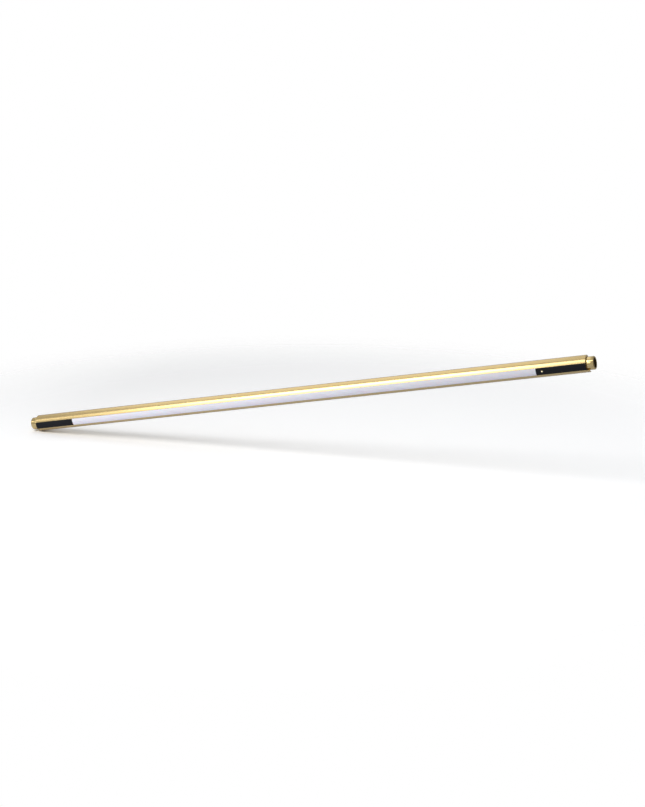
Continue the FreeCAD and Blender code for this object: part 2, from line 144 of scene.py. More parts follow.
floor_paint = bpy.data.materials.new("pale table")
floor_paint.use_nodes = True
tree = floor_paint.node_tree
tree.nodes.clear()
ray = place(tree, "ShaderNodeLightPath")
spot = place(tree, "ShaderNodeTexCoord")
spot_parts = place(tree, "ShaderNodeSeparateXYZ", {0: spot.outputs["Object"]})
rightness = place(tree, "ShaderNodeMapRange", {
    "Value": spot_parts.outputs["X"], "From Min": -0.5, "From Max": 0.5, "To Min": 0.0, "To Max": 1.0})
# Painted brightening, stronger to the right, seen only by camera rays.
even = place(tree, "ShaderNodeMix", {
    0: rightness, 6: floor_painted_light_left, 7: floor_painted_light_right}, data_type="RGBA", clamp_result=False)
shade = place(tree, "ShaderNodeMix", {
    0: ray.outputs["Is Camera Ray"], 6: floor_painted_shade_for_bounce, 7: even.outputs[2]}, data_type="RGBA")
lit = place(tree, "ShaderNodeBsdfDiffuse", {"Color": shade.outputs[2]})
reach = place(tree, "ShaderNodeVectorMath", {0: spot.outputs["Object"]}, operation="LENGTH")
fade = place(tree, "ShaderNodeMapRange", {
    "Value": reach.outputs["Value"], "From Min": floor_fade_start, "From Max": floor_radius, "To Min": 0.0,
    "To Max": 1.0}, interpolation_type="SMOOTHSTEP")
side = place(tree, "ShaderNodeNewGeometry")
gone = reckoned(tree, "MAXIMUM", fade, side.outputs["Backfacing"])
clear = place(tree, "ShaderNodeBsdfTransparent")
edge = place(tree, "ShaderNodeMixShader", {0: gone, 1: lit, 2: clear})
place(tree, "ShaderNodeOutputMaterial", {"Surface": edge})
floor_data.materials.append(floor_paint)


# ---- Lights --------------------------------------------------------------------
# A broad softbox in front, a narrower one higher up that throws the bar's shadow, a
# weak wide one behind and a small one for each spigot. The white room dims to the
# right.

def softbox(name, along, height_angle, distance, length, width, radiance):
    """A rectangular lamp that faces the bar from so many degrees above its front."""
    lamp = bpy.data.lights.new(name, "AREA")
    lamp.shape = "RECTANGLE"
    lamp.size = length
    lamp.size_y = width
    lamp.energy = radiance * math.pi * length * width
    height = math.radians(height_angle)
    toward = Vector((0, -math.cos(height), math.sin(height)))
    across = Vector((1, 0, 0))
    turn = Matrix((across, toward.cross(across), toward)).transposed().to_4x4()
    holder = new_object(name, lamp)
    holder.matrix_world = Matrix.Translation(toward * distance + across * along) @ turn
    holder.visible_camera = False


# Each lamp is its name, its place along the bar, its angle, its distance, its length, width and radiance.
for lamp in (
    ("front softbox", -0.60, 52, 1.6, 1.20, 1.60, 1.8),
    ("high softbox", -0.50, 67, 1.5, 0.85, 0.72, 2.7),
    ("rear softbox", -0.75, 130, 1.8, 1.5, 2.3, 0.55),
    ("right end fill", 0.14, 62, 1.5, 0.26, 0.45, 1.6),
    ("left end fill", -1.50, 62, 1.5, 0.26, 0.45, 1.6),
):
    softbox(*lamp)

room = bpy.data.worlds.new("white room")
room.use_nodes = True
tree = room.node_tree
tree.nodes.clear()
room_ray = place(tree, "ShaderNodeLightPath")
seen = place(tree, "ShaderNodeBackground", {"Color": (1, 1, 1, 1), "Strength": 1.0})
way = place(tree, "ShaderNodeTexCoord")
way_parts = place(tree, "ShaderNodeSeparateXYZ", {0: way.outputs["Generated"]})
dimming = place(tree, "ShaderNodeMapRange", {
    "Value": way_parts.outputs["X"], "From Min": 0.0, "From Max": 0.9, "To Min": 0.44, "To Max": 0.12})
cast = place(tree, "ShaderNodeBackground", {"Color": (0.97, 0.98, 1, 1), "Strength": dimming})
blend = place(tree, "ShaderNodeMixShader", {0: room_ray.outputs["Is Camera Ray"], 1: cast, 2: seen})
place(tree, "ShaderNodeOutputWorld", {"Surface": blend})
bpy.context.scene.world = room
bpy.context.scene.view_settings.view_transform = "Standard"


# ---- Housing tube --------------------------------------------------------------
# An extruded brass tube with one slot along its front, inner ribs for the carrier
# and shelves for the diffuser. It is brushed along its length, then lacquered.

mm = 0.001

tube_end = 488.0
tube_radius = 13.5
bore_radius = 11.7
slot_half = 5.8
rib_end = 470.3
tongue_end = 492.2
set_screw_x = 484.5


def eased(corners, steps=4):
    """Rounds the corners of a closed outline that carry a radius as their third number."""
    outline = []
    for index, corner in enumerate(corners):
        here = Vector(corner[:2])
        if len(corner) < 3:
            outline.append(here)
            continue
        back = Vector(corners[index - 1][:2]) - here
        ahead = Vector(corners[(index + 1) % len(corners)][:2]) - here
        half = back.angle(ahead) / 2
        reach = min(corner[2] / math.tan(half), 0.45 * back.length, 0.45 * ahead.length)
        radius = reach * math.tan(half)
        back.normalize()
        ahead.normalize()
        centre = here + (back + ahead).normalized() * radius / math.sin(half)
        first = here + back * reach - centre
        last = here + ahead * reach - centre
        for step in range(steps + 1):
            spoke = first.lerp(last, step / steps).normalized() * radius
            outline.append(centre + spoke)
    return outline


def arc(radius, start, end, steps):
    """Points round the tube in (y, z), 0 degrees at the front and 90 at the top."""
    turns = [math.radians(start + (end - start) * step / steps) for step in range(steps + 1)]
    return [(-radius * math.cos(turn), radius * math.sin(turn)) for turn in turns]


def wall_section(outer, inner, outer_round, inner_round):
    """A stretch of tube wall between two arcs, with its four corners rounded."""
    return eased([(*outer[0], outer_round), *outer[1:-1], (*outer[-1], outer_round),
                  (*inner[0], inner_round), *inner[1:-1], (*inner[-1], inner_round)])


def inset(outline, depth):
    """The outline moved inwards by a small depth."""
    count = len(outline)
    area = sum(outline[i - 1].cross(outline[i]) for i in range(count))
    inward = 1 if area > 0 else -1
    shifted = []
    for i in range(count):
        before = (outline[i] - outline[i - 1]).normalized()
        after = (outline[(i + 1) % count] - outline[i]).normalized()
        along = (before + after).normalized()
        shifted.append(outline[i] + Vector((-along.y, along.x)) * depth * inward)
    return shifted


def drawn(outline, stations):
    """A closed section drawn along X. Each station is (x, inset), all in millimetres."""
    body = bmesh.new()
    rings = []
    for x, depth in stations:
        section = inset(outline, depth) if depth else outline
        rings.append([body.verts.new((x * mm, y * mm, z * mm)) for y, z in section])
    for near, far in zip(rings, rings[1:]):
        for i in range(len(outline)):
            body.faces.new((near[i - 1], near[i], far[i], far[i - 1]))
    body.faces.new(rings[0])
    body.faces.new(rings[-1])
    bmesh.ops.recalc_face_normals(body, faces=body.faces)
    return body


def drilled_post(x, z, y0, y1, radius, steps=48):
    """A round bar along Y, to add to a body or to cut from it."""
    body = bmesh.new()
    turn = Matrix.Rotation(math.pi / 2, 4, "X")
    centre = Matrix.Translation(Vector((x, (y0 + y1) / 2, z)) * mm)
    bmesh.ops.create_cone(body, cap_ends=True, segments=steps, radius1=radius * mm, radius2=radius * mm,
                          depth=(y1 - y0) * mm, matrix=centre @ turn)
    return body


def brick(low, high):
    """A plain block between two corners, to add to a body or to cut from it."""
    body = bmesh.new()
    low, high = Vector(low) * mm, Vector(high) * mm
    size = Matrix.Diagonal((high - low).to_4d())
    bmesh.ops.create_cube(body, size=1.0, matrix=Matrix.Translation((low + high) / 2) @ size)
    return body


def combined(body, tool, operation):
    """The body with the tool added to it or cut from it."""
    holders = []
    for shape in (body, tool):
        mesh = bpy.data.meshes.new("work")
        shape.to_mesh(mesh)
        shape.free()
        holders.append(new_object("work", mesh))
    work, cutter = holders
    change = work.modifiers.new("change", "BOOLEAN")
    change.operation = operation
    change.solver = "EXACT"
    change.object = cutter
    result = bpy.data.meshes.new_from_object(work.evaluated_get(bpy.context.evaluated_depsgraph_get()))
    merged = bmesh.new()
    merged.from_mesh(result)
    for holder in holders:
        mesh = holder.data
        bpy.data.objects.remove(holder)
        bpy.data.meshes.remove(mesh)
    bpy.data.meshes.remove(result)
    return merged


def as_piece(name, body, material, crease=28.0):
    """The body as a named piece, smooth but for its real edges."""
    bmesh.ops.remove_doubles(body, verts=body.verts, dist=0.5e-6)
    bmesh.ops.recalc_face_normals(body, faces=body.faces)
    limit = math.radians(crease)
    for line in body.edges:
        line.smooth = line.is_manifold and line.calc_face_angle(0) < limit
    for face in body.faces:
        face.smooth = True
        face.material_index = 0
    mesh = bpy.data.meshes.new(name)
    body.to_mesh(mesh)
    body.free()
    mesh.materials.append(material)
    return new_object(name, mesh)


def fitted(piece, body, slot, *nodes):
    """Hangs the piece on its moving body and lets it stand for its plain solids."""
    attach(piece, body)
    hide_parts(*nodes)
    return piece


def grain_group(name, inputs, outputs=("Tone", "Height")):
    """An empty shader group that puts out masks, with the object's own coordinates ready."""
    group = bpy.data.node_groups.new(name, "ShaderNodeTree")
    for socket_name, value in inputs.items():
        socket = group.interface.new_socket(name=socket_name, in_out="INPUT", socket_type="NodeSocketFloat")
        socket.default_value = value
    for socket_name in outputs:
        group.interface.new_socket(name=socket_name, in_out="OUTPUT", socket_type="NodeSocketFloat")
    values = group.nodes.new("NodeGroupInput").outputs
    place_in = place(group, "ShaderNodeTexCoord").outputs["Object"]
    return group, values, place_in


def put_out(group, **masks):
    """Joins the group's last nodes to its outputs."""
    ending = group.nodes.new("NodeGroupOutput")
    for socket_name, mask in masks.items():
        group.links.new(mask, ending.inputs[socket_name])


# Lines left by a belt that ran along the length, each a hair wide and a few centimetres long.
brushed_lines, values, where = grain_group("brushed lines", {"Line Width mm": 0.25, "Line Length mm": 60.0})
spread = reckoned(brushed_lines, "DIVIDE", 1000.0, values["Line Width mm"])
run = reckoned(brushed_lines, "DIVIDE", 1000.0, values["Line Length mm"])
stretch = place(brushed_lines, "ShaderNodeCombineXYZ", {"X": run, "Y": spread, "Z": spread})
lined = place(brushed_lines, "ShaderNodeVectorMath", {0: where, 1: stretch}, operation="MULTIPLY")
fine = place(brushed_lines, "ShaderNodeTexNoise", {
    "Vector": lined, "Scale": 1.0, "Detail": 3.0, "Roughness": 0.65})
broad = place(brushed_lines, "ShaderNodeTexNoise", {"Vector": lined, "Scale": 0.13, "Detail": 1.0})
both = place(brushed_lines, "ShaderNodeMix", {0: 0.35, 2: fine.outputs["Fac"], 3: broad.outputs["Fac"]})
put_out(brushed_lines, Tone=both.outputs[0], Height=fine.outputs["Fac"])

# Faint cloudy marks left by hands and by wiping.
handling_marks, values, where = grain_group(
    "handling marks", {"Mark Size mm": 18.0, "Cover": 0.4}, ("Mask",))
per_metre = reckoned(handling_marks, "DIVIDE", 1000.0, values["Mark Size mm"])
cloud = place(handling_marks, "ShaderNodeTexNoise", {
    "Vector": where, "Scale": per_metre, "Detail": 4.0, "Roughness": 0.55, "Distortion": 0.4})
bare = reckoned(handling_marks, "SUBTRACT", 1.0, values["Cover"])
mask = place(handling_marks, "ShaderNodeMapRange", {
    "Value": cloud.outputs["Fac"], "From Min": bare, "From Max": 1.0}, interpolation_type="SMOOTHSTEP")
put_out(handling_marks, Mask=mask.outputs[0])


def finish(name, grain, grain_inputs, low, high, gloss, relief, marks=(18.0, 0.4, 0.05), **plain):
    """A surface whose colour runs from low to high and whose roughness follows its grain.

    gloss is the roughness at the two ends of the grain, relief the depth of the grain in metres,
    and marks the size, the cover and the added roughness of the cloudy handling marks.
    """
    material = bpy.data.materials.new(name)
    material.use_nodes = True
    tree = material.node_tree
    surface = tree.nodes["Principled BSDF"]
    for socket_name, value in plain.items():
        surface.inputs[socket_name.replace("_", " ")].default_value = value
    texture = place(tree, "ShaderNodeGroup", grain_inputs, node_tree=grain)
    wear = place(tree, "ShaderNodeGroup", {
        "Mark Size mm": marks[0], "Cover": marks[1]}, node_tree=handling_marks)
    colour = place(tree, "ShaderNodeMix", {
        0: texture.outputs["Tone"], 6: (*low, 1), 7: (*high, 1)}, data_type="RGBA")
    rough = place(tree, "ShaderNodeMapRange", {
        "Value": texture.outputs["Tone"], "To Min": gloss[0], "To Max": gloss[1]})
    dulled = reckoned(tree, "MULTIPLY_ADD", wear.outputs["Mask"], marks[2], rough)
    bump = place(tree, "ShaderNodeBump", {
        "Height": texture.outputs["Height"], "Strength": 1.0, "Distance": relief})
    tree.links.new(colour.outputs[2], surface.inputs["Base Color"])
    tree.links.new(dulled, surface.inputs["Roughness"])
    tree.links.new(bump.outputs[0], surface.inputs["Normal"])
    return material


def brushed(name, line_width, line_length, **look):
    """A surface that was brushed or drawn along the bar."""
    lines = {"Line Width mm": line_width, "Line Length mm": line_length}
    return finish(name, brushed_lines, lines, **look)


brass = brushed(
    "brushed brass", 0.25, 60.0, low=(0.745, 0.55, 0.25), high=(0.845, 0.645, 0.305), gloss=(0.20, 0.31),
    relief=4e-6, marks=(22.0, 0.45, 0.05), Metallic=1.0, Coat_Weight=0.12, Coat_Roughness=0.25,
)

slot_edge_outer = math.degrees(math.asin(slot_half / tube_radius))
slot_edge_inner = math.degrees(math.asin(slot_half / bore_radius))
outer_wall = arc(tube_radius, slot_edge_outer, 360 - slot_edge_outer, 168)
inner_wall = arc(bore_radius, 360 - slot_edge_inner, slot_edge_inner, 168)
lip_round = 0.3
inner_round = 0.2
tube_section = wall_section(outer_wall, inner_wall, lip_round, inner_round)
end_ease = 0.12
screw_zone = 8.0
housing = drawn(tube_section, [
    (-tube_end, end_ease),
    (-tube_end + end_ease, 0),
    (-tube_end + screw_zone, 0),
    (tube_end - screw_zone, 0),
    (tube_end - end_ease, 0),
    (tube_end, end_ease),
])

# The carrier sits between two pairs of ribs, and the diffuser's wings on the shelves.
# Each is its front, its back, its inner edge and its root inside the wall.
rib_inner = 8.93
front_rib = (-1.3, -0.1, rib_inner, 12.4)
rear_rib = (2.1, 3.3, rib_inner, 12.1)
shelf = (-7.9, -6.8, 5.1, 10.2)
for front, back, inner, outer in (front_rib, rear_rib, shelf):
    for low, high in ((inner, outer), (-outer, -inner)):
        housing = combined(housing, brick((-rib_end, front, low), (rib_end, back, high)), "UNION")

past = 1.0
set_screw_hole = 1.6
for x in (-set_screw_x, set_screw_x):
    screw_hole = drilled_post(x, 0, bore_radius - past, tube_radius + past, set_screw_hole)
    housing = combined(housing, screw_hole, "DIFFERENCE")

# A short tongue of the wall is left standing past the right end, to locate the neighbour.
tongue_low, tongue_high = -68, -31
tongue_steps = 20
tongue_ease = 0.15
tongue_outer = arc(tube_radius - 0.02, tongue_low, tongue_high, tongue_steps)
tongue_inner = arc(bore_radius + 0.04, tongue_high, tongue_low, tongue_steps)
tongue = drawn(wall_section(tongue_outer, tongue_inner, inner_round, inner_round), [
    (tube_end - past, 0), (tongue_end - tongue_ease, 0), (tongue_end, tongue_ease),
])
housing = combined(housing, tongue, "UNION")
fitted(as_piece("housing_tube_drawn", housing, brass), "bar", "brass_tube", "housing_tube")


# ---- LED carrier ---------------------------------------------------------------
# A flat bar of plain aluminium that slides between the ribs. It holds the strip and
# spreads its heat, and still shows the lines of its extrusion die.

def carried(node, material):
    """Gives a piece that is already the right shape its finish."""
    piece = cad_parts[node]
    piece.data.materials.clear()
    piece.data.materials.append(material)
    for face in piece.data.polygons:
        face.material_index = 0


aluminium = brushed(
    "mill aluminium", 0.5, 140.0, low=(0.58, 0.59, 0.60), high=(0.74, 0.75, 0.76), gloss=(0.34, 0.46),
    relief=6e-6, Metallic=1.0,
)
carried("led_carrier", aluminium)
carried("board_standoffs", aluminium)


# ---- LED strip and chips -------------------------------------------------------
# A white-masked aluminium board with fifty chips soldered in a row. Each chip is a
# white moulded cup with a round window of yellow phosphor.

moulded_grain, values, where = grain_group("moulded grain", {"Grain Size mm": 0.4, "Flow": 0.3})
per_metre = reckoned(moulded_grain, "DIVIDE", 1000.0, values["Grain Size mm"])
speck = place(moulded_grain, "ShaderNodeTexVoronoi", {
    "Vector": where, "Scale": per_metre}, feature="SMOOTH_F1")
flow = place(moulded_grain, "ShaderNodeTexNoise", {"Vector": where, "Scale": 70.0, "Detail": 3.0})
mixed = place(moulded_grain, "ShaderNodeMix", {
    0: values["Flow"], 2: speck.outputs["Distance"], 3: flow.outputs["Fac"]})
put_out(moulded_grain, Tone=mixed.outputs[0], Height=speck.outputs["Distance"])


def moulded(name, grain_size, flow, **look):
    """A surface with a fine moulded or etched grain."""
    return finish(name, moulded_grain, {"Grain Size mm": grain_size, "Flow": flow}, **look)


white_board = moulded(
    "white solder mask", 0.3, 0.6, low=(0.70, 0.70, 0.68), high=(0.84, 0.84, 0.82), gloss=(0.30, 0.42),
    relief=3e-6,
)
chip_cup = moulded(
    "white chip cup", 0.2, 0.4, low=(0.72, 0.71, 0.68), high=(0.82, 0.81, 0.78), gloss=(0.40, 0.50),
    relief=2e-6,
)
phosphor = moulded(
    "yellow phosphor", 0.12, 0.35, low=(0.72, 0.47, 0.05), high=(0.90, 0.66, 0.12), gloss=(0.35, 0.50),
    relief=4e-6,
)
carried("led_strip_board", white_board)


def growing(name, inputs):
    """An empty geometry tree with named length, number or point inputs."""
    tree = bpy.data.node_groups.new(name, "GeometryNodeTree")
    kinds = {float: "NodeSocketFloat", int: "NodeSocketInt", tuple: "NodeSocketVector"}
    for socket_name, value in inputs.items():
        tree.interface.new_socket(name=socket_name, in_out="INPUT", socket_type=kinds[type(value)])
    tree.interface.new_socket(name="Geometry", in_out="OUTPUT", socket_type="NodeSocketGeometry")
    return tree, tree.nodes.new("NodeGroupInput").outputs


def grown(name, tree, shape, inputs):
    """Ends the tree, runs it once with its inputs, and keeps the result as a plain piece."""
    ending = tree.nodes.new("NodeGroupOutput")
    tree.links.new(shape, ending.inputs["Geometry"])
    holder = new_object(name, bpy.data.meshes.new(name + "_start"))
    maker = holder.modifiers.new("maker", "NODES")
    maker.node_group = tree
    for item in tree.interface.items_tree:
        if item.in_out == "INPUT" and item.name in inputs:
            maker[item.identifier] = inputs[item.name]
    bpy.context.view_layer.update()
    result = bpy.data.meshes.new_from_object(holder.evaluated_get(bpy.context.evaluated_depsgraph_get()))
    result.name = name
    holder.modifiers.remove(maker)
    holder.data = result
    return holder


def shaded(piece, crease=28.0):
    """Makes a grown piece smooth but for its real edges."""
    body = bmesh.new()
    body.from_mesh(piece.data)
    for line in body.edges:
        line.smooth = line.is_manifold and line.calc_face_angle(0) < math.radians(crease)
    for face in body.faces:
        face.smooth = True
    body.to_mesh(piece.data)
    body.free()
    return piece


def cylinder(tree, sides, radius, depth):
    """A round bar along Z in the tree."""
    return place(tree, "GeometryNodeMeshCylinder", {"Vertices": sides, "Radius": radius, "Depth": depth})


def row_of_points(tree, given, count=2):
    """Points a pitch apart, from the first one on."""
    return place(tree, "GeometryNodeMeshLine", {
        "Count": count, "Start Location": given["First"], "Offset": given["Pitch"]}, mode="OFFSET")


def set_in_row(tree, row, item, material):
    """Stands an item on each point of a row, then makes it real and gives it its finish."""
    stood = place(tree, "GeometryNodeInstanceOnPoints", {"Points": row, "Instance": item})
    real = place(tree, "GeometryNodeRealizeInstances", {"Geometry": stood})
    coated = place(tree, "GeometryNodeSetMaterial", {"Geometry": real, "Material": material})
    return coated.outputs[0]


def moved(tree, shape, **how):
    """Shifts, turns or stretches a shape in the tree."""
    return place(tree, "GeometryNodeTransform", {"Geometry": shape, **how}).outputs[0]


chip_box_low, chip_box_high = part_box("led_chips")
chip_count = 50
chip_size = (0.005, 0.0008, 0.003)
window_depth = 0.00006
chip_inputs = {
    "First": (chip_box_low[0] + chip_size[0] / 2, (chip_box_low[1] + chip_box_high[1]) / 2, 0.0),
    "Pitch": (0.016, 0.0, 0.0),
    "Count": chip_count,
    "Cup Size": (chip_size[0], chip_size[1] - window_depth, chip_size[2]),
    "Window Radius": 0.00115,
}
tree, given = growing("row of chips", chip_inputs)
row = row_of_points(tree, given, given["Count"])
cup = place(tree, "GeometryNodeMeshCube", {"Size": given["Cup Size"]})
cup_set = moved(tree, cup, Translation=(0, window_depth / 2, 0))
window = cylinder(tree, 20, given["Window Radius"], chip_size[1] * 0.5)
window_set = moved(tree, window, Rotation=(math.pi / 2, 0, 0),
                   Translation=(0, -chip_size[1] / 2 + chip_size[1] * 0.25, 0))
cups = set_in_row(tree, row, cup_set, chip_cup)
windows = set_in_row(tree, row, window_set, phosphor)
chips = place(tree, "GeometryNodeJoinGeometry")
tree.links.new(cups, chips.inputs[0])
tree.links.new(windows, chips.inputs[0])
fitted(shaded(grown("led_chip_row", tree, chips.outputs[0], chip_inputs)), "bar", "led_phosphor",
       "led_chips")


# ---- Dimmer board --------------------------------------------------------------
# A small green board on two standoffs behind the carrier, with a wound inductor,
# two capacitors, a chip and the terminal that takes the leads.

printed_tracks, values, where = grain_group("printed tracks", {"Track Pitch mm": 1.6})
per_metre = reckoned(printed_tracks, "DIVIDE", 1000.0, values["Track Pitch mm"])
tracks = place(printed_tracks, "ShaderNodeTexBrick", {
    "Vector": where, "Scale": per_metre, "Color1": (0, 0, 0, 1), "Color2": (0.25, 0.25, 0.25, 1),
    "Mortar": (1, 1, 1, 1), "Mortar Size": 0.09, "Brick Width": 2.7, "Row Height": 0.7})
put_out(printed_tracks, Tone=tracks.outputs["Color"], Height=tracks.outputs["Fac"])

green_board = finish("green board", printed_tracks, {"Track Pitch mm": 1.6}, low=(0.008, 0.085, 0.028),
                     high=(0.03, 0.20, 0.07), gloss=(0.28, 0.38), relief=2e-5)
steel = moulded(
    "screw steel", 0.15, 0.5, low=(0.46, 0.46, 0.47), high=(0.62, 0.62, 0.63), gloss=(0.24, 0.36),
    relief=2e-6, Metallic=1.0,
)
ferrite = moulded(
    "ferrite", 0.25, 0.4, low=(0.022, 0.022, 0.024), high=(0.06, 0.06, 0.065), gloss=(0.48, 0.62),
    relief=1e-5,
)
epoxy = moulded(
    "chip epoxy", 0.2, 0.3, low=(0.012, 0.012, 0.013), high=(0.03, 0.03, 0.032), gloss=(0.45, 0.58),
    relief=6e-6,
)
can_sleeve = brushed(
    "capacitor can", 0.3, 4.0, low=(0.45, 0.46, 0.48), high=(0.66, 0.67, 0.70), gloss=(0.25, 0.36),
    relief=3e-6, Metallic=1.0,
)
terminal_green = moulded(
    "terminal plastic", 0.3, 0.4, low=(0.02, 0.14, 0.06), high=(0.04, 0.23, 0.10), gloss=(0.36, 0.5),
    relief=6e-6,
)
carried("dimmer_board", green_board)
carried("switch_board", green_board)
carried("dimmer_chip", epoxy)
carried("lead_terminal", terminal_green)


def turned(profile, axis="X", centre=(0, 0, 0), segments=96):
    """A lathe-turned body from a closed outline of (distance along the axis, radius)."""
    body = bmesh.new()
    rings = []
    for along, radius in profile:
        ring = []
        for step in range(segments if radius > 1e-6 else 1):
            turn = 2 * math.pi * step / segments
            across, up = radius * math.cos(turn), radius * math.sin(turn)
            point = (along, across, up) if axis == "X" else (across, along, up)
            ring.append(body.verts.new((Vector(point) + Vector(centre)) * mm))
        rings.append(ring)
    for i in range(len(rings)):
        near, far = rings[i - 1], rings[i]
        for step in range(segments):
            corners = [near[(step - 1) % len(near)], near[step % len(near)],
                       far[step % len(far)], far[(step - 1) % len(far)]]
            corners = list(dict.fromkeys(corners))
            if len(corners) > 2:
                body.faces.new(corners)
    bmesh.ops.recalc_face_normals(body, faces=body.faces)
    return body


def put_together(bodies):
    """Several closed bodies kept as one piece."""
    whole = bmesh.new()
    for body in bodies:
        mesh = bpy.data.meshes.new("work")
        body.to_mesh(mesh)
        body.free()
        whole.from_mesh(mesh)
        bpy.data.meshes.remove(mesh)
    return whole


inductor_low, inductor_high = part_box("power_inductor")
inductor_x = (inductor_low[0] + inductor_high[0]) / 2 / mm
inductor_seat, inductor_top = inductor_low[1] / mm, inductor_high[1] / mm
inductor_radius = 4.0
flange = 0.8
inductor_core = turned(eased([
    (inductor_seat, 0), (inductor_seat, inductor_radius, 0.15),
    (inductor_seat + flange, inductor_radius, 0.15),
    (inductor_seat + flange, inductor_radius - flange), (inductor_top - flange, inductor_radius - flange),
    (inductor_top - flange, inductor_radius, 0.15), (inductor_top, inductor_radius, 0.15), (inductor_top, 0),
]), axis="Y", centre=(inductor_x, 0, 0), segments=64)
fitted(as_piece("inductor_bobbin", inductor_core, ferrite), "bar", "ferrite", "power_inductor")

capacitor_low, capacitor_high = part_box("filter_capacitors")
can_start, can_stop = capacitor_low[0] / mm, capacitor_high[0] / mm
can_radius = 1.5
can_height = capacitor_low[1] / mm + can_radius
cans = put_together([
    turned(eased([
        (can_start, 0), (can_start, can_radius, 0.25), (can_start + 1.1, can_radius, 0.1),
        (can_start + 1.35, can_radius - 0.2, 0.1), (can_start + 1.6, can_radius, 0.1),
        (can_stop, can_radius, 0.2), (can_stop, 0.9), (can_stop - 0.12, 0.8), (can_stop - 0.12, 0),
    ]), centre=(0, can_height, z), segments=48)
    for z in (-2.25, 2.25)
])
fitted(as_piece("capacitor_cans", cans, can_sleeve), "bar", "capacitor_can", "filter_capacitors")


# ---- Board screws --------------------------------------------------------------
# Small slotted pan-head machine screws: two hold the dimmer board to the carrier
# and two hold the switch board to the bosses of the right insert.

head_radius = 0.0019
head_height = 0.0012
dome_drop = 0.00045
thread_pitch = 0.0004


def slotted_screws(name, node, length):
    """A pair of screws along Y with domed heads, a slot and a rolled thread."""
    low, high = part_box(node)
    screw_inputs = {
        "First": (low[0] + head_radius, high[1] - head_height / 2, 0.0),
        "Pitch": (high[0] - low[0] - 2 * head_radius, 0.0, 0.0),
        "Head Radius": head_radius,
        "Head Height": head_height,
        "Shank Radius": 0.00078,
        "Thread Reach": 0.00017,
        "Length": length,
        "Turns": length / thread_pitch,
    }
    tree, given = growing(name + " maker", screw_inputs)
    row = row_of_points(tree, given)
    head = place(tree, "GeometryNodeMeshCylinder", {
        "Vertices": 40, "Side Segments": 1, "Fill Segments": 6, "Radius": given["Head Radius"],
        "Depth": given["Head Height"]})
    spot = place(tree, "GeometryNodeInputPosition")
    parts = place(tree, "ShaderNodeSeparateXYZ", {0: spot})
    flat = place(tree, "ShaderNodeCombineXYZ", {"X": parts.outputs["X"], "Y": parts.outputs["Y"]})
    out = place(tree, "ShaderNodeVectorMath", {0: flat}, operation="LENGTH")
    share = reckoned(tree, "DIVIDE", out.outputs["Value"], given["Head Radius"])
    bow = reckoned(tree, "POWER", share, 3.0)
    sink = reckoned(tree, "MULTIPLY", bow, -dome_drop)
    drop = place(tree, "ShaderNodeCombineXYZ", {"Z": sink})
    above = reckoned(tree, "GREATER_THAN", parts.outputs["Z"], 0.0)
    domed = place(tree, "GeometryNodeSetPosition", {"Geometry": head, "Selection": above, "Offset": drop})
    slot_bar = place(tree, "GeometryNodeMeshCube", {"Size": (0.006, 0.0006, head_height)})
    slot_set = moved(tree, slot_bar, Translation=(0, 0, head_height / 2))
    slotted = place(tree, "GeometryNodeMeshBoolean", {
        0: domed, 1: slot_set}, operation="DIFFERENCE", solver="EXACT")
    sunk = reckoned(tree, "MULTIPLY_ADD", given["Length"], 0.5, 0.0005)
    deep = reckoned(tree, "MULTIPLY", sunk, -1.0)
    down = place(tree, "ShaderNodeCombineXYZ", {"Z": deep})
    shank = cylinder(tree, 24, given["Shank Radius"], given["Length"])
    shank_set = moved(tree, shank, Translation=down)
    coil = place(tree, "GeometryNodeCurveSpiral", {
        "Resolution": 20, "Rotations": given["Turns"], "Start Radius": given["Shank Radius"],
        "End Radius": given["Shank Radius"], "Height": given["Length"]})
    foot = reckoned(tree, "MULTIPLY_ADD", given["Length"], -0.92, -0.0006)
    low_end = place(tree, "ShaderNodeCombineXYZ", {"Z": foot})
    coil_set = moved(tree, coil, Translation=low_end, Scale=(1, 1, 0.9))
    ridge = place(tree, "GeometryNodeCurvePrimitiveCircle", {
        "Resolution": 4, "Radius": given["Thread Reach"]})
    thread = place(tree, "GeometryNodeCurveToMesh", {
        "Curve": coil_set, "Profile Curve": ridge, "Fill Caps": True})
    whole = place(tree, "GeometryNodeJoinGeometry")
    for part in (slotted.outputs[0], shank_set, thread.outputs[0]):
        tree.links.new(part, whole.inputs[0])
    laid = moved(tree, whole, Rotation=(-math.pi / 2, 0, 0))
    screws = set_in_row(tree, row, laid, steel)
    return fitted(shaded(grown(name, tree, screws, screw_inputs)), "bar", "steel_screws", node)


slotted_screws("dimmer_board_screws", "board_screws", length=0.0058)
slotted_screws("switch_board_screw_pair", "switch_board_screws", length=0.0044)


# ---- Leads ---------------------------------------------------------------------
# Stranded leads in soft PVC, all inside the tube: red and black for power, a pair
# to the strip and a grey one to the button's board.

def insulation(name, low, high):
    """The soft PVC of a lead, in one colour."""
    return moulded(name, 0.5, 0.6, low=low, high=high, gloss=(0.36, 0.5), relief=5e-6)


red_lead = insulation("red lead", (0.36, 0.012, 0.010), (0.55, 0.03, 0.022))
black_lead = insulation("black lead", (0.010, 0.010, 0.011), (0.028, 0.028, 0.030))
grey_lead = insulation("grey lead", (0.16, 0.16, 0.17), (0.27, 0.27, 0.28))
carried("positive_lead", red_lead)
carried("strip_positive_lead", red_lead)
carried("negative_lead", black_lead)
carried("strip_negative_lead", black_lead)
carried("switch_lead", grey_lead)


# ---- Diffuser ------------------------------------------------------------------
# One length of co-extruded opal acrylic. Its face fills the slot and its two wings
# snap in behind the tube's wall.

fill_radius = 13.45
fill_half = 5.7
wing_radius = 11.6
wing_half = 7.4
wing_back = -8.0
right_joint = 409.2
left_joint = -415.5
joint_gap = 0.1


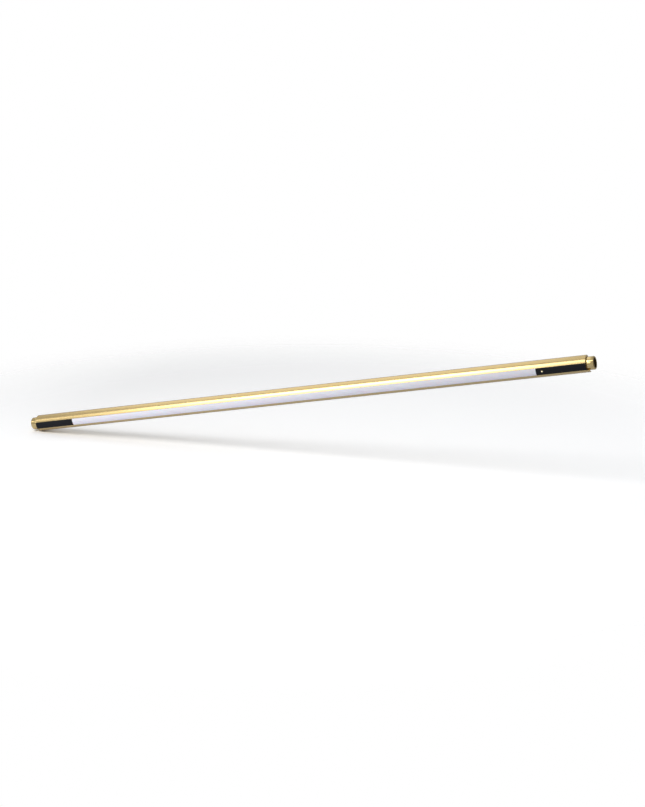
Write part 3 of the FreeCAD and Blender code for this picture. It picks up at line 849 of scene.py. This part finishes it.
def slot_section(skin, leg, face_ease):
    """The section that fills the slot, open at the back, in (y, z)."""
    face_edge = math.degrees(math.asin(fill_half / fill_radius))
    wing_start = math.degrees(math.asin(fill_half / wing_radius))
    wing_stop = math.degrees(math.asin(wing_half / wing_radius))
    face = arc(fill_radius, -face_edge, face_edge, 36)
    upper = arc(wing_radius, wing_start, wing_stop, 12)
    lower = arc(wing_radius, -wing_stop, -wing_start, 12)
    channel_half = fill_half - leg
    channel_front = -(tube_radius - skin)
    return eased([
        (*face[0], face_ease), *face[1:-1], (*face[-1], face_ease),
        *upper, (wing_back, wing_half, 0.25), (wing_back, channel_half, 0.25),
        (channel_front, channel_half, 0.3), (channel_front, -channel_half, 0.3),
        (wing_back, -channel_half, 0.25), (wing_back, -wing_half, 0.25), *lower,
    ])


# The opal's faint emission is painted light: the strip is off, and the glow only lifts the face's
# brightness.
opal = brushed(
    "opal acrylic", 1.1, 400.0, low=(0.850, 0.832, 0.895), high=(0.885, 0.868, 0.930), gloss=(0.34, 0.42),
    relief=2e-6, marks=(30.0, 0.35, 0.05), Subsurface_Weight=0.15, Subsurface_Scale=0.002,
    Emission_Color=(1.0, 0.97, 1.0, 1), Emission_Strength=0.10,
)
diffuser_body = drawn(slot_section(skin=1.65, leg=1.65, face_ease=0.25), [
    (left_joint + joint_gap, end_ease),
    (left_joint + joint_gap + end_ease, 0),
    (right_joint - joint_gap - end_ease, 0),
    (right_joint - joint_gap, end_ease),
])
fitted(as_piece("diffuser_drawn", diffuser_body, opal), "bar", "opal", "diffuser")


# ---- Inserts -------------------------------------------------------------------
# Black anodised fillers that close the slot beyond the diffuser. The right one is
# bored for the button and has two bosses behind it for the switch board.

black_anodised = brushed(
    "black anodised", 0.35, 45.0, low=(0.004, 0.0043, 0.005), high=(0.013, 0.014, 0.016),
    gloss=(0.36, 0.52), relief=9e-6, marks=(14.0, 0.5, 0.08), Specular_IOR_Level=0.25,
)
inner_ease = 0.15
trim_radius = 11.8
insert_section = slot_section(skin=2.45, leg=1.25, face_ease=0.3)


def insert(inner_end, outer_end):
    """A filler whose wings stop short of the bulkhead at its outer end."""
    inward = math.copysign(1, inner_end - outer_end)
    wing_end = math.copysign(rib_end, outer_end)
    stations = [
        (outer_end, end_ease),
        (outer_end + end_ease * inward, 0),
        (wing_end - 3 * inward, 0),
        (wing_end + 3 * inward, 0),
        (inner_end - inner_ease * inward, 0),
        (inner_end, inner_ease),
    ]
    body = drawn(insert_section, stations)
    beyond = outer_end - 2 * past * inward
    trimmer = turned([(wing_end, 0), (wing_end, trim_radius), (beyond, trim_radius), (beyond, 0)],
                     segments=160)
    return combined(body, trimmer, "DIFFERENCE")


button_x = 418.6
skin_back = -11.05
switch_board_front = -6.45
bezel_radius = 2.95
opening_radius = 3.0
boss_radius = 1.8
boss_root = 1.2
pilot_radius = 1.0
right_insert_body = insert(right_joint, tube_end)
for boss_x in (right_joint + 18, right_joint + 30):
    boss = drilled_post(boss_x, 0, skin_back - boss_root, switch_board_front, boss_radius, 40)
    right_insert_body = combined(right_insert_body, boss, "UNION")
    pilot = drilled_post(boss_x, 0, skin_back + past, switch_board_front + past, pilot_radius, 32)
    right_insert_body = combined(right_insert_body, pilot, "DIFFERENCE")
opening = drilled_post(button_x, 0, -tube_radius - past, skin_back + past, opening_radius, 64)
right_insert_body = combined(right_insert_body, opening, "DIFFERENCE")
fitted(as_piece("right_insert_bored", right_insert_body, black_anodised), "bar", "black_insert",
       "right_insert")
fitted(as_piece("left_insert_plain", insert(left_joint, -tube_end), black_anodised), "bar", "black_insert",
       "left_insert")


# ---- Button --------------------------------------------------------------------
# A moulded nylon cap in a thin bezel, with a clear light pipe through it that ends
# in the plunger of the switch. It is pressed 0.5 mm against a coil spring.

nylon = moulded(
    "black nylon", 0.18, 0.4, low=(0.010, 0.010, 0.011), high=(0.028, 0.028, 0.030), gloss=(0.34, 0.48),
    relief=5e-6, marks=(6.0, 0.5, 0.06),
)
# The lens's warm colour and emission are painted light, a glowing dot on the button; the pilot is not lit.
lens_with_painted_glow = moulded(
    "pilot lens", 0.3, 0.7, low=(0.82, 0.74, 0.50), high=(0.94, 0.86, 0.62), gloss=(0.10, 0.18),
    relief=1e-6, Coat_Weight=0.5, Emission_Color=(1.0, 0.84, 0.45, 1), Emission_Strength=0.9,
)
spring_wire = moulded(
    "spring wire", 0.2, 0.5, low=(0.42, 0.42, 0.43), high=(0.60, 0.60, 0.61), gloss=(0.22, 0.34),
    relief=2e-6, Metallic=1.0,
)
at_button = (button_x, 0, 0)

bezel_front = -13.1
bezel_bore = 2.3
cap_front = -12.9
cap_radius = 2.2
flange_front, flange_back = -10.95, -10.25
flange_radius = 3.15
pipe_radius = 1.1
plunger_top, plunger_tip = -8.65, -7.45
plunger_radius = 1.0

bezel = turned(eased([(bezel_front, bezel_bore, 0.15), (bezel_front, bezel_radius, 0.25),
                      (skin_back, bezel_radius), (skin_back, bezel_bore)]), axis="Y", centre=at_button)
fitted(as_piece("button_bezel_turned", bezel, nylon), "bar", "black_nylon", "button_bezel")

# The cap's face is dished by less than a tenth of a millimetre.
cap_bore = pipe_radius + 0.05
cap = turned(eased([
    (cap_front + 0.06, cap_bore, 0.08), (cap_front + 0.08, 1.5), (cap_front + 0.04, 1.8),
    (cap_front, cap_radius, 0.22), (flange_front, cap_radius, 0.1), (flange_front, flange_radius, 0.1),
    (flange_back, flange_radius, 0.1), (flange_back, cap_bore),
]), axis="Y", centre=at_button)
fitted(as_piece("button_cap_dished", cap, nylon), "button", "black_nylon", "button_cap")

pipe = turned([
    (-13.05, 0), (-13.03, 0.3), (-12.98, 0.6), (-12.88, 0.88), (-12.74, 1.06), (-12.6, pipe_radius),
    (plunger_top, pipe_radius), (plunger_top, 0),
], axis="Y", centre=at_button, segments=64)
fitted(as_piece("pilot_light_pipe_domed", pipe, lens_with_painted_glow), "button", "pilot_lens", "pilot_light_pipe")

plunger = turned(eased([
    (plunger_top, 0), (plunger_top, plunger_radius, 0.1), (plunger_tip, plunger_radius, 0.2),
    (plunger_tip, 0),
]), axis="Y", centre=at_button, segments=64)
fitted(as_piece("switch_plunger_turned", plunger, lens_with_painted_glow), "button", "pilot_lens", "switch_plunger")
carried("tact_switch", nylon)

spring_inputs = {
    "Coil Radius": 0.00285,
    "Wire Radius": 0.00015,
    "Turns": 4.0,
    "Height": 0.0018,
    "Start": (button_x * mm, -0.01005, 0.0),
}
tree, given = growing("button spring maker", spring_inputs)
coil = place(tree, "GeometryNodeCurveSpiral", {
    "Resolution": 64, "Rotations": given["Turns"], "Start Radius": given["Coil Radius"],
    "End Radius": given["Coil Radius"], "Height": given["Height"]})
wire = place(tree, "GeometryNodeCurvePrimitiveCircle", {"Resolution": 14, "Radius": given["Wire Radius"]})
bent = place(tree, "GeometryNodeCurveToMesh", {"Curve": coil, "Profile Curve": wire, "Fill Caps": True})
upright = moved(tree, bent, Rotation=(-math.pi / 2, 0, 0), Translation=given["Start"])
real = place(tree, "GeometryNodeRealizeInstances", {"Geometry": upright})
coated = place(tree, "GeometryNodeSetMaterial", {"Geometry": real, "Material": spring_wire})
spring = fitted(shaded(grown("button_spring_coil", tree, coated.outputs[0], spring_inputs), 60), "bar",
                "spring_steel", "button_spring")
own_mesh(spring)


# ---- End plugs -----------------------------------------------------------------
# A brass bush in each end of the tube carries the spigot. A socket set screw from
# the back holds it, and a boss on its inner face stops the spigot's turn.

plug_back = 481.0
plug_bore = 8.65
plug_radius = 11.65
stop_length = 2.2
tapped_radius = 1.5
for side, word in ((1, "right"), (-1, "left")):
    plug = turned(eased([
        (side * plug_back, plug_bore, 0.1), (side * plug_back, plug_radius, 0.2),
        (side * tube_end, plug_radius, 0.15), (side * tube_end, plug_bore, 0.3),
    ]), segments=128)
    stop_line = [Vector(point) for point in arc(11.6, 82, 98, 10) + arc(10.2, 98, 82, 10)]
    stop = drawn(stop_line, [(side * (plug_back - stop_length), 0), (side * (plug_back + past), 0)])
    plug = combined(plug, stop, "UNION")
    plug = combined(plug, drilled_post(side * set_screw_x, 0, 5, 14, tapped_radius), "DIFFERENCE")
    fitted(as_piece(word + "_end_plug_bush", plug, brass), "bar", "brass_tube", word + "_end_plug")

oxide = moulded(
    "black oxide steel", 0.2, 0.5, low=(0.035, 0.035, 0.037), high=(0.085, 0.085, 0.09), gloss=(0.32, 0.46),
    relief=4e-6, Metallic=0.85,
)
set_screw_inputs = {
    "First": (-set_screw_x * mm, 0.01105, 0.0),
    "Pitch": (2 * set_screw_x * mm, 0.0, 0.0),
    "Radius": 0.00145,
    "Length": 0.0041,
    "Key Radius": 0.000866,
    "Key Depth": 0.0016,
}
tree, given = growing("set screw maker", set_screw_inputs)
row = row_of_points(tree, given)
slug = cylinder(tree, 40, given["Radius"], given["Length"])
key = cylinder(tree, 6, given["Key Radius"], given["Key Depth"])
half_length = reckoned(tree, "MULTIPLY", given["Length"], 0.5)
at_top = reckoned(tree, "MULTIPLY_ADD", given["Key Depth"], -0.45, half_length)
lifted = place(tree, "ShaderNodeCombineXYZ", {"Z": at_top})
key_set = moved(tree, key, Translation=lifted)
keyed = place(tree, "GeometryNodeMeshBoolean", {0: slug, 1: key_set}, operation="DIFFERENCE", solver="EXACT")
laid = moved(tree, keyed, Rotation=(-math.pi / 2, 0, 0))
set_screws = set_in_row(tree, row, laid, oxide)
fitted(shaded(grown("plug_set_screw_pair", tree, set_screws, set_screw_inputs)), "bar", "blackened_steel",
       "plug_set_screws")


# ---- Spigots -------------------------------------------------------------------
# A hollow brass spigot at each end, turned on a lathe from bar and polished. Its
# shank runs in the plug, held by a clip, with a washer under its collar.

turned_lines, values, where = grain_group("turned lines", {"Line Pitch mm": 0.12, "Wander": 0.25})
parts = place(turned_lines, "ShaderNodeSeparateXYZ", {0: where})
ring_plane = place(turned_lines, "ShaderNodeCombineXYZ", {"Y": parts.outputs["Y"], "Z": parts.outputs["Z"]})
from_axis = place(turned_lines, "ShaderNodeVectorMath", {0: ring_plane}, operation="LENGTH")
feed = reckoned(turned_lines, "ADD", parts.outputs["X"], from_axis.outputs["Value"])
per_metre = reckoned(turned_lines, "DIVIDE", 1000.0, values["Line Pitch mm"])
feed_lines = reckoned(turned_lines, "MULTIPLY", feed, per_metre)
ridges = place(turned_lines, "ShaderNodeTexNoise", {
    "W": feed_lines, "Scale": 1.0, "Detail": 2.0, "Roughness": 0.6}, noise_dimensions="1D")
blotch = place(turned_lines, "ShaderNodeTexNoise", {"Vector": where, "Scale": 160.0, "Detail": 3.0})
tone = place(turned_lines, "ShaderNodeMix", {
    0: values["Wander"], 2: ridges.outputs["Fac"], 3: blotch.outputs["Fac"]})
put_out(turned_lines, Tone=tone.outputs[0], Height=ridges.outputs["Fac"])


def lathed(name, line_pitch, wander, **look):
    """A surface with the rings that a lathe's tool leaves."""
    return finish(name, turned_lines, {"Line Pitch mm": line_pitch, "Wander": wander}, **look)


polished_brass = lathed(
    "turned brass", 0.12, 0.3, low=(0.76, 0.56, 0.24), high=(0.87, 0.68, 0.33), gloss=(0.10, 0.19),
    relief=2e-6, marks=(9.0, 0.45, 0.06), Metallic=1.0,
)
# The thrust washers are painted far darker than the spigot: painted shade in the joint between tube and
# collar.
washer_painted_shade = lathed(
    "washer brass with painted joint shade", 0.2, 0.4, low=(0.42, 0.29, 0.10), high=(0.58, 0.42, 0.17), gloss=(0.24, 0.36),
    relief=4e-6, Metallic=1.0,
)
# The socket's inside is painted dark brown: painted shade in the recess.
socket_painted_shade = lathed(
    "brass painted with socket shade", 0.3, 0.4, low=(0.13, 0.095, 0.035), high=(0.22, 0.16, 0.06), gloss=(0.34, 0.48),
    relief=5e-6, Metallic=1.0,
)

spigot_end = 500.0
collar_start = 489.0
collar_radius = 10.4
socket_floor = 490.5
socket_radius = 8.2
shank_end = 476.5
shank_radius = 8.6
shank_bore = 6.5
groove_start, groove_end = 478.25, 479.35
groove_radius = 7.9
flat_start = 481.0
flat_depth = 7.7
washer_start = 488.1
washer_bore, washer_radius = 8.7, 9.9
spigot_profile = [
    (shank_end, shank_bore, 0.15), (shank_end, shank_radius, 0.3),
    (groove_start, shank_radius, 0.08), (groove_start, groove_radius),
    (groove_end, groove_radius), (groove_end, shank_radius, 0.08),
    (collar_start, shank_radius), (collar_start, collar_radius, 0.3),
    (spigot_end - 0.9, collar_radius, 0.35), (spigot_end, 9.5, 0.25),
    (spigot_end, 8.7, 0.15), (spigot_end - 0.5, socket_radius, 0.3),
    (socket_floor, socket_radius, 0.25), (socket_floor, shank_bore, 0.1),
]
for side, word in ((1, "right"), (-1, "left")):
    spigot = turned(eased([(side * corner[0], *corner[1:]) for corner in spigot_profile]), segments=160)
    x0, x1 = sorted((side * (shank_end - past), side * flat_start))
    flat = brick((x0, -tube_radius, -tube_radius), (x1, -flat_depth, tube_radius))
    spigot = combined(spigot, flat, "DIFFERENCE")
    spigot_piece = as_piece(word + "_spigot_turned", spigot, polished_brass)
    spigot_piece.data.materials.append(socket_painted_shade)
    # Faces inside the socket take the brass with painted shade.
    for face in spigot_piece.data.polygons:
        within = face.center.yz.length < (socket_radius + 0.1) * mm
        if within and abs(face.center.x) > (socket_floor - 0.2) * mm:
            face.material_index = 1
    fitted(spigot_piece, word + "_swivel", "turned_brass", word + "_spigot")
    washer = turned(eased([
        (side * washer_start, washer_bore, 0.1), (side * washer_start, washer_radius, 0.1),
        (side * collar_start, washer_radius, 0.1), (side * collar_start, washer_bore, 0.1),
    ]), segments=128)
    fitted(as_piece(word + "_thrust_washer_turned", washer, washer_painted_shade), word + "_swivel", "turned_brass",
           word + "_thrust_washer")
    carried(word + "_stop_washer", spring_wire)
    carried(word + "_retaining_clip", oxide)


# ---- Contacts ------------------------------------------------------------------
# The right spigot carries a pin in a nylon insulator. Behind it a bulkhead holds
# two sprung contacts that keep touching while the spigot turns.

pin_radius = 1.3
pin_end = 497.5
pin_bore = 1.35
core_radius = 6.45
core_start = 476.6
blank_start = 488.0
insulator = turned(eased([
    (core_start, pin_bore), (core_start, core_radius, 0.2), (490.1, core_radius), (socket_floor, 6.05, 0.15),
    (socket_floor, 2.6, 0.1), (490.2, 2.3, 0.1), (490.2, pin_bore, 0.1),
]), segments=96)
fitted(as_piece("contact_insulator_moulded", insulator, nylon), "right_swivel", "black_nylon",
       "contact_insulator")

contact_plate = lathed(
    "contact brass", 0.1, 0.3, low=(0.66, 0.47, 0.18), high=(0.80, 0.60, 0.26), gloss=(0.14, 0.24),
    relief=2e-6, Metallic=1.0,
)
pin = turned(eased([
    (shank_end, 0), (shank_end, pin_radius, 0.1), (pin_end - pin_radius / 2, pin_radius, 0.3),
    (pin_end, pin_radius / 2, 0.3), (pin_end, 0),
]), segments=64)
fitted(as_piece("centre_contact_pin_turned", pin, contact_plate), "right_swivel", "contact_brass",
       "centre_contact_pin")

blank = turned(eased([
    (-blank_start, 0), (-blank_start, core_radius, 0.2), (-490.1, core_radius), (-socket_floor, 6.05, 0.15),
    (-socket_floor, 4.4, 0.15), (-490.3, 4.2, 0.1), (-490.3, 0),
]), segments=96)
fitted(as_piece("left_socket_blank_moulded", blank, nylon), "left_swivel", "black_nylon",
       "left_socket_blank")

carried("contact_bulkhead", nylon)
carried("slip_contact", contact_plate)
carried("ring_contact", contact_plate)
